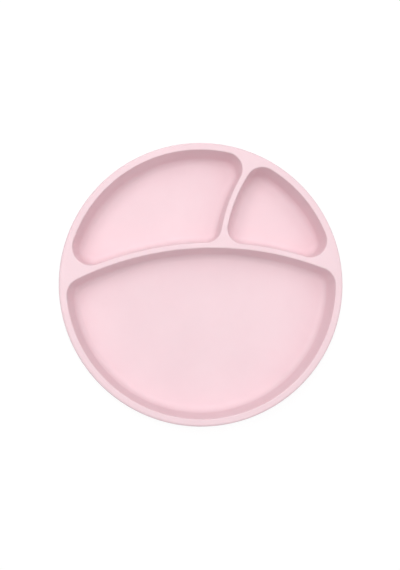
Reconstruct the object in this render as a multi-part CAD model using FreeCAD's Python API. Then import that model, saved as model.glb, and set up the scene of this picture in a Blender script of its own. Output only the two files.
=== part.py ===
import FreeCAD, Part
import math
import os

# A round divided plate for a small child, moulded in one piece of soft silicone.
# Millimetres. +Z is up, and the origin is on the table under the middle of the plate.
# -Y is the side of the large compartment, and the two small ones lie towards +Y.

# Rim and outside
plate_diameter = 200.0
rim_width = 5.3
rim_outer_bevel = 1.2
rim_inner_bevel = 0.6
outside_draft = 16.0

# Compartments
compartment_depth = 20.0
compartment_draft = 7.0
floor_thickness = 3.0
floor_round = 5.0
rim_corner_radius = 12.0
rib_corner_radius = 11.0

# Ribs: the long one arches across the plate, the short one stands on it and curves up to the rim
rib_width = 3.7
long_rib_radius = 220.2
long_rib_crest = 26.3
short_rib_radius = 114.8
short_rib_foot = 15.5
short_rib_head_angle = 64.0

# Suction ring under the floor: straight down from its root to a bend, then flared out to a thin lip
suction_diameter = 120.0
suction_height = 5.0
lip_thickness = 1.8
lip_flare = 3.2
bend_height = 2.4
bend_thickness = 2.8
bend_flare = 1.2
root_thickness = 3.8

# Release tab at the front of the ring
tab_width = 20.0
tab_reach = 13.0
tab_thickness = 2.2
tab_lift = 0.8

# Levels and radii that follow from the sizes above
floor_z = suction_height + floor_thickness
rim_z = floor_z + compartment_depth
cut_z = rim_z + compartment_depth / 4
rim_radius = plate_diameter / 2
opening_radius = rim_radius - rim_width
lip_radius = suction_diameter / 2
bend_radius = lip_radius - lip_flare
root_radius = bend_radius - bend_flare

# The wall's section: how far the draft brings it in, and how much of that the floor's rounding adds
draft = math.radians(compartment_draft)
wall_run = compartment_depth * math.tan(draft)
half_turn = (math.pi / 2 - draft) / 2
corner_room = 0.98 * (min(rim_corner_radius, rib_corner_radius) - wall_run) / math.tan(half_turn)
inside_round = min(floor_round, corner_room)
underside_round = inside_round + floor_thickness

up = FreeCAD.Vector(0, 0, 1)
middle = FreeCAD.Vector(0, 0, 0)


def heading(angle):
    """Unit vector in the plane of the table, the angle in radians from +X."""
    return FreeCAD.Vector(math.cos(angle), math.sin(angle), 0)


def angle_of(vector):
    return math.atan2(vector.y, vector.x)


def meeting_point(centre_a, radius_a, centre_b, radius_b, side):
    """Where two circles meet: side 1 is on the left of the way from a to b, -1 on the right."""
    way = centre_b - centre_a
    along = (way.Length ** 2 + radius_a ** 2 - radius_b ** 2) / (2 * way.Length)
    across = math.sqrt(radius_a ** 2 - along ** 2)
    way.normalize()
    left = FreeCAD.Vector(-way.y, way.x, 0)
    return centre_a + way * along + left * (side * across)


# The centres of the ribs' arcs: the short rib runs from its foot on the long one to its head at the rim
long_rib_centre = FreeCAD.Vector(0, long_rib_crest - long_rib_radius, 0)
foot_rise = math.sqrt(long_rib_radius ** 2 - short_rib_foot ** 2)
rib_foot = long_rib_centre + FreeCAD.Vector(short_rib_foot, foot_rise, 0)
rib_head = heading(math.radians(short_rib_head_angle)) * opening_radius
short_rib_centre = meeting_point(rib_foot, short_rib_radius, rib_head, short_rib_radius, -1)


class Wall:
    """One side of a compartment, seen from above: an arc with the compartment inside it or outside."""

    def __init__(self, centre, radius, inside):
        self.centre = centre
        self.radius = radius
        self.side = 1 if inside else -1

    def moved_in(self, distance):
        """Radius of the arc that lies this far into the compartment."""
        return self.radius - self.side * distance


rim_wall = Wall(middle, opening_radius, True)
long_rib_front = Wall(long_rib_centre, long_rib_radius - rib_width / 2, True)
long_rib_back = Wall(long_rib_centre, long_rib_radius + rib_width / 2, False)
short_rib_left = Wall(short_rib_centre, short_rib_radius + rib_width / 2, False)
short_rib_right = Wall(short_rib_centre, short_rib_radius - rib_width / 2, True)


def wall_section():
    """The wall from above the rim down to the floor, with X as the way into the compartment."""
    top = FreeCAD.Vector((rim_z - cut_z) * math.tan(draft), 0, cut_z)
    floor_start = wall_run + inside_round * math.tan(half_turn)
    centre = FreeCAD.Vector(floor_start, 0, floor_z + inside_round)
    wall_end = centre - FreeCAD.Vector(math.cos(draft), 0, math.sin(draft)) * inside_round
    half_way = draft + half_turn
    belly = centre - FreeCAD.Vector(math.cos(half_way), 0, math.sin(half_way)) * inside_round
    rounding = Part.Arc(wall_end, belly, FreeCAD.Vector(floor_start, 0, floor_z))
    return [Part.makeLine(top, wall_end), rounding.toShape()]


def swept_section(wall, start, end):
    """Turns the wall's section about the middle of its arc, from one angle to the other."""
    turn = math.degrees(end - start) % 360
    if wall.side < 0:
        turn = turn - 360
    edge_point = wall.centre + heading(start) * wall.radius
    facing = FreeCAD.Rotation(up, math.degrees(start) + 90 + 90 * wall.side)
    faces = []
    for edge in wall_section():
        edge.Placement = FreeCAD.Placement(edge_point, facing)
        faces.extend(edge.revolve(wall.centre, up, turn).Faces)
    return faces


def lies_at(edge, level):
    """True of an edge that lies flat at this height."""
    return all(abs(vertex.Z - level) < 0.0001 for vertex in edge.Vertexes)


def level_face(faces, level):
    """The flat face that closes a ring of faces at one height."""
    edges = [edge for face in faces for edge in face.Edges if lies_at(edge, level)]
    return Part.Face(Part.Wire(Part.__sortEdges__(edges)))


def compartment(sides):
    """A compartment's space, from its walls anticlockwise, each with the corner that follows it."""
    walls = [wall for wall, radius in sides]
    following = walls[1:] + walls[:1]
    corners = []
    for (wall, radius), after in zip(sides, following):
        centre = meeting_point(wall.centre, wall.moved_in(radius), after.centre, after.moved_in(radius),
                               wall.side * after.side)
        corners.append(Wall(centre, radius, True))
    faces = []
    for place, (wall, after) in enumerate(zip(walls, following)):
        corner = corners[place]
        before = corners[place - 1]
        faces.extend(swept_section(wall, angle_of(before.centre - wall.centre),
                                   angle_of(corner.centre - wall.centre)))
        faces.extend(swept_section(corner, angle_of((corner.centre - wall.centre) * wall.side),
                                   angle_of((corner.centre - after.centre) * after.side)))
    shell = Part.makeShell(faces + [level_face(faces, cut_z), level_face(faces, floor_z)])
    shell.sewShape()
    return Part.makeSolid(shell)


def large_compartment():
    """In front of the long rib."""
    return compartment([(rim_wall, rim_corner_radius), (long_rib_front, rim_corner_radius)])


def left_compartment():
    """Behind the long rib, on the left of the short one."""
    return compartment([(long_rib_back, rib_corner_radius), (short_rib_left, rim_corner_radius),
                        (rim_wall, rim_corner_radius)])


def right_compartment():
    """Behind the long rib, on the right of the short one."""
    return compartment([(long_rib_back, rim_corner_radius), (rim_wall, rim_corner_radius),
                        (short_rib_right, rib_corner_radius)])


def turned(outline):
    """Solid of revolution about the plate's middle, from the corners of half its section."""
    corners = [FreeCAD.Vector(radius, 0, z) for radius, z in outline]
    return Part.Face(Part.makePolygon(corners + corners[:1])).revolve(middle, up, 360)


def dish():
    """The outside of the dish as one block, narrowing downwards and round at its lower edge."""
    widest_z = rim_z - rim_outer_bevel
    foot_radius = rim_radius - (widest_z - suction_height) * math.tan(math.radians(outside_draft))
    block = turned([(0, suction_height), (foot_radius, suction_height), (rim_radius, widest_z),
                    (rim_radius - rim_outer_bevel, rim_z), (0, rim_z)])
    lower_edge = [edge for edge in block.Edges if lies_at(edge, suction_height)]
    return block.makeFillet(underside_round, lower_edge)


def suction_ring():
    """The ring's outer form, filled in, reaching into the floor that carries it."""
    into_floor_z = floor_z - floor_thickness / 2
    return turned([(0, 0), (lip_radius, 0), (bend_radius, bend_height), (root_radius, suction_height),
                   (root_radius, into_floor_z), (0, into_floor_z)])


def suction_hollow():
    """The space inside the ring, from just below the table up to the floor's underside."""
    below_z = -tab_lift
    lip_inside = lip_radius - lip_thickness
    return turned([(0, below_z), (lip_inside, below_z), (lip_inside, 0),
                   (bend_radius - bend_thickness, bend_height),
                   (root_radius - root_thickness, suction_height), (0, suction_height)])


def release_tab():
    """The tongue at the front of the ring, round at its end and just clear of the table."""
    half = tab_width / 2
    end_y = -(lip_radius + tab_reach)
    inside_ring_y = -(root_radius - root_thickness)
    corners = [FreeCAD.Vector(x, y, tab_lift) for x, y in
               ((half, end_y + half), (half, inside_ring_y), (-half, inside_ring_y), (-half, end_y + half))]
    straights = [Part.makeLine(start, end) for start, end in zip(corners, corners[1:])]
    round_end = Part.Arc(corners[-1], FreeCAD.Vector(0, end_y, tab_lift), corners[0]).toShape()
    return Part.Face(Part.Wire(straights + [round_end])).extrude(up * tab_thickness)


plate = dish()
for space in (large_compartment(), left_compartment(), right_compartment()):
    plate = plate.cut(space)

# Bevel the edges where the compartments open into the rim and the ribs
opening_edges = [edge for edge in plate.Edges if lies_at(edge, rim_z)
                 and math.hypot(edge.Vertexes[0].X, edge.Vertexes[0].Y) < opening_radius + rim_inner_bevel]
plate = plate.makeChamfer(rim_inner_bevel, opening_edges)

plate = plate.fuse(suction_ring()).fuse(release_tab()).cut(suction_hollow())

os.makedirs("parts", exist_ok=True)
plate.exportStep("parts/plate.step")
print("plate: valid", plate.isValid(), "solids", len(plate.Solids), "volume", round(plate.Volume))
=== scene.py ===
import math

import bmesh
import bpy
from mathutils import Matrix, Vector


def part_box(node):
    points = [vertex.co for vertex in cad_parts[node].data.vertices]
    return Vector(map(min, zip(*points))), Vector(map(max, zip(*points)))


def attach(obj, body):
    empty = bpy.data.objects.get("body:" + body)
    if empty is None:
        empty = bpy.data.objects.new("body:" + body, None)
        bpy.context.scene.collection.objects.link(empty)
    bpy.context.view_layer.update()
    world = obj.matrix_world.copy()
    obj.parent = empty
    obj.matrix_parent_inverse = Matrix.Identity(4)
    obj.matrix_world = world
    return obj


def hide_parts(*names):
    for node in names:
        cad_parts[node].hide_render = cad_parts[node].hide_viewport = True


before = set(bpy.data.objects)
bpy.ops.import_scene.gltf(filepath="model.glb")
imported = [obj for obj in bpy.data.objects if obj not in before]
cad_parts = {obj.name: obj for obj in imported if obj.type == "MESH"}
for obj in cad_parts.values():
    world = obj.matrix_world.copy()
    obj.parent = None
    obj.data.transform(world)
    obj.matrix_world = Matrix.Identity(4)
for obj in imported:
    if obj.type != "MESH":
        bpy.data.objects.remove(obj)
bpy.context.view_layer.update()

# A round divided plate of soft silicone. Metres, in the part's own frame: +Z is up, the origin is on
# the table under the middle of the plate, and -Y is the side of the large compartment.
mm = 0.001

# Overall size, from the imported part
lowest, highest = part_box("plate")
rim_radius = (highest.x - lowest.x) / 2
rim_z = highest.z

# Rim and outside
rim_width = 5.3 * mm
outside_draft = math.radians(16)
rim_outer_round = 1.8 * mm
rim_inner_round = 0.8 * mm
rib_edge_round = 1.0 * mm

# Compartments
floor_z = 8 * mm
floor_thickness = 3 * mm
compartment_draft = math.radians(7)
floor_round = 5 * mm
rim_corner_radius = 12 * mm
left_corner_radius = 13 * mm
rib_corner_radius = 11 * mm

# Ribs
rib_width = 4.0 * mm
long_rib_radius = 220.2 * mm
long_rib_crest = 26.45 * mm
short_rib_radius = 114.8 * mm
short_rib_foot = 15.2 * mm
short_rib_head_angle = math.radians(64.2)

# Suction ring and its release tab
lip_radius = 60 * mm
lip_thickness = 1.8 * mm
bend_radius = 56.8 * mm
bend_height = 2.4 * mm
bend_thickness = 2.8 * mm
root_radius = 55.6 * mm
root_thickness = 3.8 * mm
bend_round = 4 * mm
root_outer_round = 0.8 * mm
root_inner_round = 1.2 * mm
lip_outer_round = 0.35 * mm
lip_inner_round = 0.5 * mm
tab_width = 20 * mm
tab_reach = 13 * mm
tab_thickness = 2.2 * mm
tab_lift = 0.8 * mm
tab_edge_round = 0.7 * mm

# How finely the mesh is divided
outline_step = 1.0 * mm
corner_step = math.radians(3.5)
columns = 360
small_arc_steps = 8
large_arc_steps = 18
tab_root_steps = 12
tab_end_steps = 24
support_gap = 0.25 * mm
flat_margin = 5 * mm
crease_angle = math.radians(35)

# Silicone: linear colours, gloss and grain of the body and of the ring, cells of noise in a metre
paler_pink = (0.815, 0.615, 0.657, 1)
deeper_pink = (0.795, 0.595, 0.637, 1)
body_roughness = 0.5
ring_roughness = 0.24
body_grain = 0.35
ring_grain = 0.08
finish_change = 0.6 * mm
cloud_scale = 28
patch_scale = 90
swell_scale = 120
grain_scale = 2200

# Studio: the floor is white mostly by its own glow, and a shadow takes away the little that it reflects
floor_size = 6
floor_gap = 0.3 * mm
floor_glow = 0.885
floor_reflection = 0.14
shadow_fade = (0.15, 0.5)
lamp_distance = 1.2

opening_radius = rim_radius - rim_width
underside_z = floor_z - floor_thickness


def heading(angle):
    """Unit vector in the plane of the table, the angle from +X."""
    return Vector((math.cos(angle), math.sin(angle)))


def angle_of(vector):
    return math.atan2(vector.y, vector.x)


def blend(first, second, share):
    """From first to second, with an eased start and end."""
    eased = share * share * (3 - 2 * share)
    return first + (second - first) * eased


# Rounded sections: a path through corners, each with the radius that rounds it

def rounded_path(corners):
    """Points along a path of (across, height, radius, steps) corners, each turned into an arc.

    A point close beside each arc keeps the flat stretches flat under smooth shading."""
    places = [Vector(corner[:2]) for corner in corners]
    points = [places[0]]
    for before, place, after, corner in zip(places, places[1:], places[2:], corners[1:]):
        radius, steps = corner[2:]
        inward = (before - place).normalized()
        onward = (after - place).normalized()
        half_turn = (math.pi - inward.angle(onward)) / 2
        reach = radius * math.tan(half_turn)
        start = place + inward * reach
        end = place + onward * reach
        centre = place + (inward + onward).normalized() * (radius / math.cos(half_turn))
        first = start - centre
        sweep = math.atan2(first.cross(end - centre), first.dot(end - centre))
        if (start - points[-1]).length > 2 * support_gap:
            points.append(start + inward * support_gap)
        for step in range(steps + 1):
            points.append(centre + Matrix.Rotation(sweep * step / steps, 2) @ first)
        if (after - end).length > 2 * support_gap:
            points.append(end + onward * support_gap)
    points.append(places[-1])
    return points


# The compartments' outlines: arcs that run into each other

class Wall:
    """One side of a compartment, seen from above: an arc with the compartment inside it or outside."""

    def __init__(self, centre, radius, inside, edge_round):
        self.centre = centre
        self.radius = radius
        self.side = 1 if inside else -1
        self.edge_round = edge_round

    def moved_in(self, distance):
        """Radius of the arc that lies this far into the compartment."""
        return self.radius - self.side * distance


class Station:
    """A place on a compartment's outline, from which the wall's section goes straight in."""

    def __init__(self, wall, angle, edge_round):
        self.wall = wall
        self.angle = angle
        self.edge_round = edge_round

    def point(self, inset, height):
        place = self.wall.centre + heading(self.angle) * self.wall.moved_in(inset)
        return Vector((place.x, place.y, height))


def meeting_point(centre_a, radius_a, centre_b, radius_b, side):
    """Where two circles meet: side 1 is on the left of the way from a to b, -1 on the right."""
    way = centre_b - centre_a
    along = (way.length ** 2 + radius_a ** 2 - radius_b ** 2) / (2 * way.length)
    across = math.sqrt(radius_a ** 2 - along ** 2)
    ahead = way.normalized()
    left = Vector((-ahead.y, ahead.x))
    return centre_a + ahead * along + left * (side * across)


def stations_along(wall, start, end, last_edge_round):
    """Stations from one angle to the other, without the last, which the next wall starts with."""
    turn = (end - start) % (2 * math.pi)
    if wall.side < 0:
        turn = turn - 2 * math.pi
    count = max(math.ceil(abs(turn) * wall.radius / outline_step), math.ceil(abs(turn) / corner_step))
    return [Station(wall, start + turn * step / count, blend(wall.edge_round, last_edge_round, step / count))
            for step in range(count)]


def outline(sides):
    """Stations round a compartment, from its walls anticlockwise, each with the corner after it."""
    walls = [wall for wall, radius in sides]
    following = walls[1:] + walls[:1]
    corners = []
    for (wall, radius), after in zip(sides, following):
        centre = meeting_point(wall.centre, wall.moved_in(radius), after.centre, after.moved_in(radius),
                               wall.side * after.side)
        corners.append(Wall(centre, radius, True, wall.edge_round))
    stations = []
    for place, (wall, after) in enumerate(zip(walls, following)):
        corner = corners[place]
        before = corners[place - 1]
        stations += stations_along(wall, angle_of(before.centre - wall.centre),
                                   angle_of(corner.centre - wall.centre), wall.edge_round)
        stations += stations_along(corner, angle_of((corner.centre - wall.centre) * wall.side),
                                   angle_of((corner.centre - after.centre) * after.side),
                                   after.edge_round)
    return stations


def compartment_outlines():
    """The large compartment in front of the long rib, and the two small ones behind it."""
    middle = Vector((0, 0))
    long_rib_centre = Vector((0, long_rib_crest - long_rib_radius))
    foot_rise = math.sqrt(long_rib_radius ** 2 - short_rib_foot ** 2)
    rib_foot = long_rib_centre + Vector((short_rib_foot, foot_rise))
    rib_head = heading(short_rib_head_angle) * opening_radius
    short_rib_centre = meeting_point(rib_foot, short_rib_radius, rib_head, short_rib_radius, -1)
    half_rib = rib_width / 2
    rim_wall = Wall(middle, opening_radius, True, rim_inner_round)
    long_rib_front = Wall(long_rib_centre, long_rib_radius - half_rib, True, rib_edge_round)
    long_rib_back = Wall(long_rib_centre, long_rib_radius + half_rib, False, rib_edge_round)
    short_rib_left = Wall(short_rib_centre, short_rib_radius + half_rib, False, rib_edge_round)
    short_rib_right = Wall(short_rib_centre, short_rib_radius - half_rib, True, rib_edge_round)
    return [
        outline([(rim_wall, rim_corner_radius), (long_rib_front, rim_corner_radius)]),
        outline([(long_rib_back, rib_corner_radius), (short_rib_left, rim_corner_radius),
                 (rim_wall, left_corner_radius)]),
        outline([(long_rib_back, rim_corner_radius), (rim_wall, rim_corner_radius),
                 (short_rib_right, rib_corner_radius)]),
    ]


# Mesh building

def ring_of(mesh, points):
    return [mesh.verts.new(point) for point in points]


def skin(mesh, rings):
    """Faces between one closed ring of vertices and the next."""
    for ring, following in zip(rings, rings[1:]):
        for place in range(len(ring)):
            face = mesh.faces.new((ring[place - 1], ring[place], following[place], following[place - 1]))
            face.smooth = True


def flat_fill(mesh, rings):
    """Closes one ring, or the space between several, with flat faces."""
    edges = [mesh.edges.get((ring[place - 1], ring[place])) for ring in rings for place in range(len(ring))]
    made = bmesh.ops.triangle_fill(mesh, use_beauty=True, edges=edges, normal=(0, 0, 1))
    for part in made["geom"]:
        if isinstance(part, bmesh.types.BMFace):
            part.smooth = False


def compartment_rings(mesh, stations):
    """Over the top edge, down the wall and round into the floor."""
    wall_run = (rim_z - floor_z) * math.tan(compartment_draft)
    half_turn = (math.pi / 2 - compartment_draft) / 2
    floor_start = wall_run + floor_round * math.tan(half_turn)
    sections = []
    for station in stations:
        top_start = -station.edge_round * math.tan(half_turn)
        path = rounded_path([(top_start - support_gap, rim_z),
                             (0, rim_z, station.edge_round, small_arc_steps),
                             (wall_run, floor_z, floor_round, large_arc_steps),
                             (floor_start, floor_z)])
        sections.append([station.point(inset, height) for inset, height in path[:-1]])
    return [ring_of(mesh, points) for points in zip(*sections)]


def outside_rings(mesh):
    """Round the rim's outer edge, down the outside and under, over the suction ring to its hollow."""
    edge_drop = rim_outer_round * (1 + math.sin(outside_draft))
    edge_out = rim_radius - rim_outer_round * (1 - math.cos(outside_draft))
    edge_x = edge_out + edge_drop * math.tan(outside_draft)
    foot_x = edge_x - (rim_z - underside_z) * math.tan(outside_draft)
    flat_end = edge_x - rim_outer_round * math.tan((math.pi / 2 + outside_draft) / 2)
    path = rounded_path([
        (flat_end - support_gap, rim_z),
        (edge_x, rim_z, rim_outer_round, small_arc_steps),
        (foot_x, underside_z, floor_round + floor_thickness, large_arc_steps),
        (root_radius, underside_z, root_outer_round, small_arc_steps),
        (bend_radius, bend_height, bend_round, small_arc_steps),
        (lip_radius, 0, lip_outer_round, small_arc_steps),
        (lip_radius - lip_thickness, 0, lip_inner_round, small_arc_steps),
        (bend_radius - bend_thickness, bend_height, bend_round, small_arc_steps),
        (root_radius - root_thickness, underside_z, root_inner_round, small_arc_steps),
        (root_radius - root_thickness - flat_margin, underside_z),
    ])
    headings = [heading(2 * math.pi * column / columns) for column in range(columns)]
    return [ring_of(mesh, [(way.x * radius, way.y * radius, height) for way in headings])
            for radius, height in path]


def object_of(name, mesh):
    """A new object from a finished bmesh."""
    bmesh.ops.recalc_face_normals(mesh, faces=mesh.faces)
    data = bpy.data.meshes.new(name)
    mesh.to_mesh(data)
    mesh.free()
    made = bpy.data.objects.new(name, data)
    bpy.context.scene.collection.objects.link(made)
    return made


def plate_body():
    mesh = bmesh.new()
    edges_of_top = []
    for stations in compartment_outlines():
        rings = compartment_rings(mesh, stations)
        skin(mesh, rings)
        flat_fill(mesh, [rings[-1]])
        edges_of_top.append(rings[0])
    rings = outside_rings(mesh)
    skin(mesh, rings)
    flat_fill(mesh, [rings[-1]])
    flat_fill(mesh, edges_of_top + [rings[0]])
    return object_of("silicone_plate", mesh)


def inside_ring_wall(height):
    """Radius halfway through the suction ring's wall."""
    lip = lip_radius - lip_thickness / 2
    bend = bend_radius - bend_thickness / 2
    root = root_radius - root_thickness / 2
    if height < bend_height:
        return lip + (bend - lip) * height / bend_height
    return bend + (root - bend) * (height - bend_height) / (underside_z - bend_height)


def tab_ring(mesh, inset, height):
    """The tab's outline at one height, from its root in the ring's wall round its end."""
    half = tab_width / 2 - inset
    root = inside_ring_wall(height)
    end_centre = -(lip_radius + tab_reach - tab_width / 2)
    spread = math.asin(half / root)
    points = []
    for step in range(tab_root_steps + 1):
        place = heading(-math.pi / 2 + spread * (1 - 2 * step / tab_root_steps)) * root
        points.append((place.x, place.y, height))
    for step in range(tab_end_steps + 1):
        place = heading(math.pi + math.pi * step / tab_end_steps) * half
        points.append((place.x, end_centre + place.y, height))
    return ring_of(mesh, points)


def release_tab():
    mesh = bmesh.new()
    top = tab_lift + tab_thickness
    path = rounded_path([(2 * tab_edge_round, tab_lift), (0, tab_lift, tab_edge_round, small_arc_steps),
                         (0, top, tab_edge_round, small_arc_steps), (2 * tab_edge_round, top)])
    rings = [tab_ring(mesh, inset, height) for inset, height in path]
    skin(mesh, rings)
    flat_fill(mesh, [rings[0]])
    flat_fill(mesh, [rings[-1]])
    return object_of("release_tab", mesh)


def unite(body, addition):
    """Makes one mesh of two that overlap, with a crease where they meet."""
    union = body.modifiers.new("union", "BOOLEAN")
    union.operation = "UNION"
    union.solver = "MANIFOLD"
    union.object = addition
    graph = bpy.context.evaluated_depsgraph_get()
    united = bpy.data.meshes.new_from_object(body.evaluated_get(graph))
    body.modifiers.clear()
    body.data = united
    united.set_sharp_from_angle(angle=crease_angle)
    bpy.data.objects.remove(addition)


# Materials

def node_tree(material):
    material.use_nodes = True
    material.node_tree.nodes.clear()
    return material.node_tree


def add_node(tree, kind, **inputs):
    node = tree.nodes.new(kind)
    for name, value in inputs.items():
        node.inputs[name.replace("_", " ")].default_value = value
    return node


def noise(tree, place, scale, detail):
    node = add_node(tree, "ShaderNodeTexNoise", Scale=scale, Detail=detail, Roughness=0.55)
    tree.links.new(place.outputs["Object"], node.inputs["Vector"])
    return node.outputs["Fac"]


def span(tree, source, old, new):
    """Maps the values from old[0] to old[1] onto those from new[0] to new[1]."""
    node = add_node(tree, "ShaderNodeMapRange",
                    From_Min=old[0], From_Max=old[1], To_Min=new[0], To_Max=new[1])
    tree.links.new(source, node.inputs["Value"])
    return node.outputs["Result"]


def silicone():
    """Soft matt silicone, pink through and through, with a fine eggshell grain from its mould.

    The suction ring is moulded smoother, so that it seals."""
    material = bpy.data.materials.new("silicone")
    tree = node_tree(material)
    link = tree.links.new
    output = add_node(tree, "ShaderNodeOutputMaterial")
    shader = add_node(tree, "ShaderNodeBsdfPrincipled", IOR=1.41)
    shader.inputs["Subsurface Weight"].default_value = 0.08
    shader.inputs["Subsurface Radius"].default_value = (1.0, 0.5, 0.55)
    shader.inputs["Subsurface Scale"].default_value = 0.4 * mm
    link(shader.outputs["BSDF"], output.inputs["Surface"])
    place = add_node(tree, "ShaderNodeTexCoord")

    clouds = noise(tree, place, cloud_scale, detail=3)
    tint = tree.nodes.new("ShaderNodeMix")
    tint.data_type = "RGBA"
    tint.inputs["A"].default_value = deeper_pink
    tint.inputs["B"].default_value = paler_pink
    link(span(tree, clouds, (0.35, 0.65), (0, 1)), tint.inputs["Factor"])
    link(tint.outputs["Result"], shader.inputs["Base Color"])

    height = tree.nodes.new("ShaderNodeSeparateXYZ")
    link(place.outputs["Object"], height.inputs["Vector"])
    above_ring = span(tree, height.outputs["Z"], (underside_z - finish_change, underside_z), (0, 1))
    patches = span(tree, noise(tree, place, patch_scale, detail=4), (0.3, 0.7), (-0.05, 0.05))
    roughness = tree.nodes.new("ShaderNodeMath")
    roughness.operation = "ADD"
    link(span(tree, above_ring, (0, 1), (ring_roughness, body_roughness)), roughness.inputs[0])
    link(patches, roughness.inputs[1])
    link(roughness.outputs["Value"], shader.inputs["Roughness"])

    grain = noise(tree, place, grain_scale, detail=2)
    swell = noise(tree, place, swell_scale, detail=2)
    fine = add_node(tree, "ShaderNodeBump", Distance=0.03 * mm)
    broad = add_node(tree, "ShaderNodeBump", Strength=0.3, Distance=0.05 * mm)
    link(span(tree, above_ring, (0, 1), (ring_grain, body_grain)), fine.inputs["Strength"])
    link(swell, broad.inputs["Height"])
    link(grain, fine.inputs["Height"])
    link(broad.outputs["Normal"], fine.inputs["Normal"])
    link(fine.outputs["Normal"], shader.inputs["Normal"])
    return material


def seen_directly(tree):
    """1 for what the camera sees, straight, mirrored or through glass."""
    path = tree.nodes.new("ShaderNodeLightPath")
    total = path.outputs["Is Camera Ray"]
    for name in ("Is Glossy Ray", "Is Transmission Ray"):
        larger = tree.nodes.new("ShaderNodeMath")
        larger.operation = "MAXIMUM"
        tree.links.new(total, larger.inputs[0])
        tree.links.new(path.outputs[name], larger.inputs[1])
        total = larger.outputs[0]
    return total


def studio_floor():
    """White to the camera, with the shadow kept, and pale for the light that it throws back."""
    bpy.ops.mesh.primitive_plane_add(size=floor_size, location=(0, 0, -floor_gap))
    plane = bpy.context.object
    plane.name = "studio_floor"
    material = bpy.data.materials.new("studio_floor")
    tree = node_tree(material)
    link = tree.links.new
    output = add_node(tree, "ShaderNodeOutputMaterial")
    pale = add_node(tree, "ShaderNodeBsdfDiffuse", Color=(0.8, 0.8, 0.8, 1))
    reflected = (floor_reflection, floor_reflection, floor_reflection, 1)
    shaded = add_node(tree, "ShaderNodeBsdfDiffuse", Color=reflected)
    glow = add_node(tree, "ShaderNodeEmission", Strength=floor_glow)
    near = tree.nodes.new("ShaderNodeAddShader")
    link(shaded.outputs["BSDF"], near.inputs[0])
    link(glow.outputs["Emission"], near.inputs[1])
    far = add_node(tree, "ShaderNodeEmission", Strength=1.0)
    place = add_node(tree, "ShaderNodeTexCoord")
    distance = tree.nodes.new("ShaderNodeVectorMath")
    distance.operation = "LENGTH"
    link(place.outputs["Object"], distance.inputs[0])
    white = tree.nodes.new("ShaderNodeMixShader")
    link(span(tree, distance.outputs["Value"], shadow_fade, (0, 1)), white.inputs["Fac"])
    link(near.outputs["Shader"], white.inputs[1])
    link(far.outputs["Emission"], white.inputs[2])
    choice = tree.nodes.new("ShaderNodeMixShader")
    link(seen_directly(tree), choice.inputs["Fac"])
    link(pale.outputs["BSDF"], choice.inputs[1])
    link(white.outputs["Shader"], choice.inputs[2])
    link(choice.outputs["Shader"], output.inputs["Surface"])
    plane.data.materials.append(material)


def studio_world(fill):
    """An even fill light, and plain white where the camera sees past the floor."""
    world = bpy.data.worlds.new("studio")
    bpy.context.scene.world = world
    tree = node_tree(world)
    output = add_node(tree, "ShaderNodeOutputWorld")
    background = add_node(tree, "ShaderNodeBackground", Color=(1, 1, 1, 1))
    tree.links.new(span(tree, seen_directly(tree), (0, 1), (fill, 1)), background.inputs["Strength"])
    tree.links.new(background.outputs["Background"], output.inputs["Surface"])


def softbox(name, azimuth, off_vertical, width, watts):
    """A square lamp above the table, turned towards the plate's middle.

    Both angles are in degrees, the azimuth from +X."""
    data = bpy.data.lights.new(name, "AREA")
    data.shape = "SQUARE"
    data.size = width
    data.energy = watts
    lamp = bpy.data.objects.new(name, data)
    level = heading(math.radians(azimuth)) * math.sin(math.radians(off_vertical))
    way = Vector((level.x, level.y, math.cos(math.radians(off_vertical))))
    lamp.location = way * lamp_distance
    lamp.rotation_mode = "QUATERNION"
    lamp.rotation_quaternion = (-way).to_track_quat("-Z", "Y")
    bpy.context.scene.collection.objects.link(lamp)


def camera():
    """Looks down on the plate as the photograph does, between four and five degrees off straight down."""
    target = Vector((-1.781, -1.425, 28)) * mm
    tilt = math.radians(4.5)
    azimuth = math.radians(-47)
    distance = 0.45
    image_up = Vector((0.0466, 0.9989, 0))
    back = Vector((math.sin(azimuth) * math.sin(tilt), -math.cos(azimuth) * math.sin(tilt), math.cos(tilt)))
    right = image_up.cross(back).normalized()
    up = back.cross(right)
    data = bpy.data.cameras.new("camera")
    data.sensor_width = 36
    data.lens = 40.54
    eye = bpy.data.objects.new("camera", data)
    turned = Matrix((right, up, back)).transposed().to_4x4()
    eye.matrix_world = Matrix.Translation(target + back * distance) @ turned
    bpy.context.scene.collection.objects.link(eye)
    bpy.context.scene.camera = eye


plate = plate_body()
unite(plate, release_tab())
plate.data.materials.clear()
plate.data.materials.append(silicone())
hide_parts("plate")
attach(plate, "root")

studio_floor()
studio_world(fill=0.45)
softbox("left", azimuth=165, off_vertical=26, width=0.65, watts=2.9)
softbox("left_back", azimuth=130, off_vertical=26, width=0.65, watts=2.1)
softbox("back", azimuth=90, off_vertical=40, width=0.9, watts=2.0)
softbox("right_back", azimuth=60, off_vertical=25, width=0.9, watts=1.5)
softbox("right", azimuth=0, off_vertical=40, width=0.7, watts=2.1)
softbox("above", azimuth=0, off_vertical=0, width=0.6, watts=1.5)
camera()
bpy.context.scene.view_settings.view_transform = "Standard"
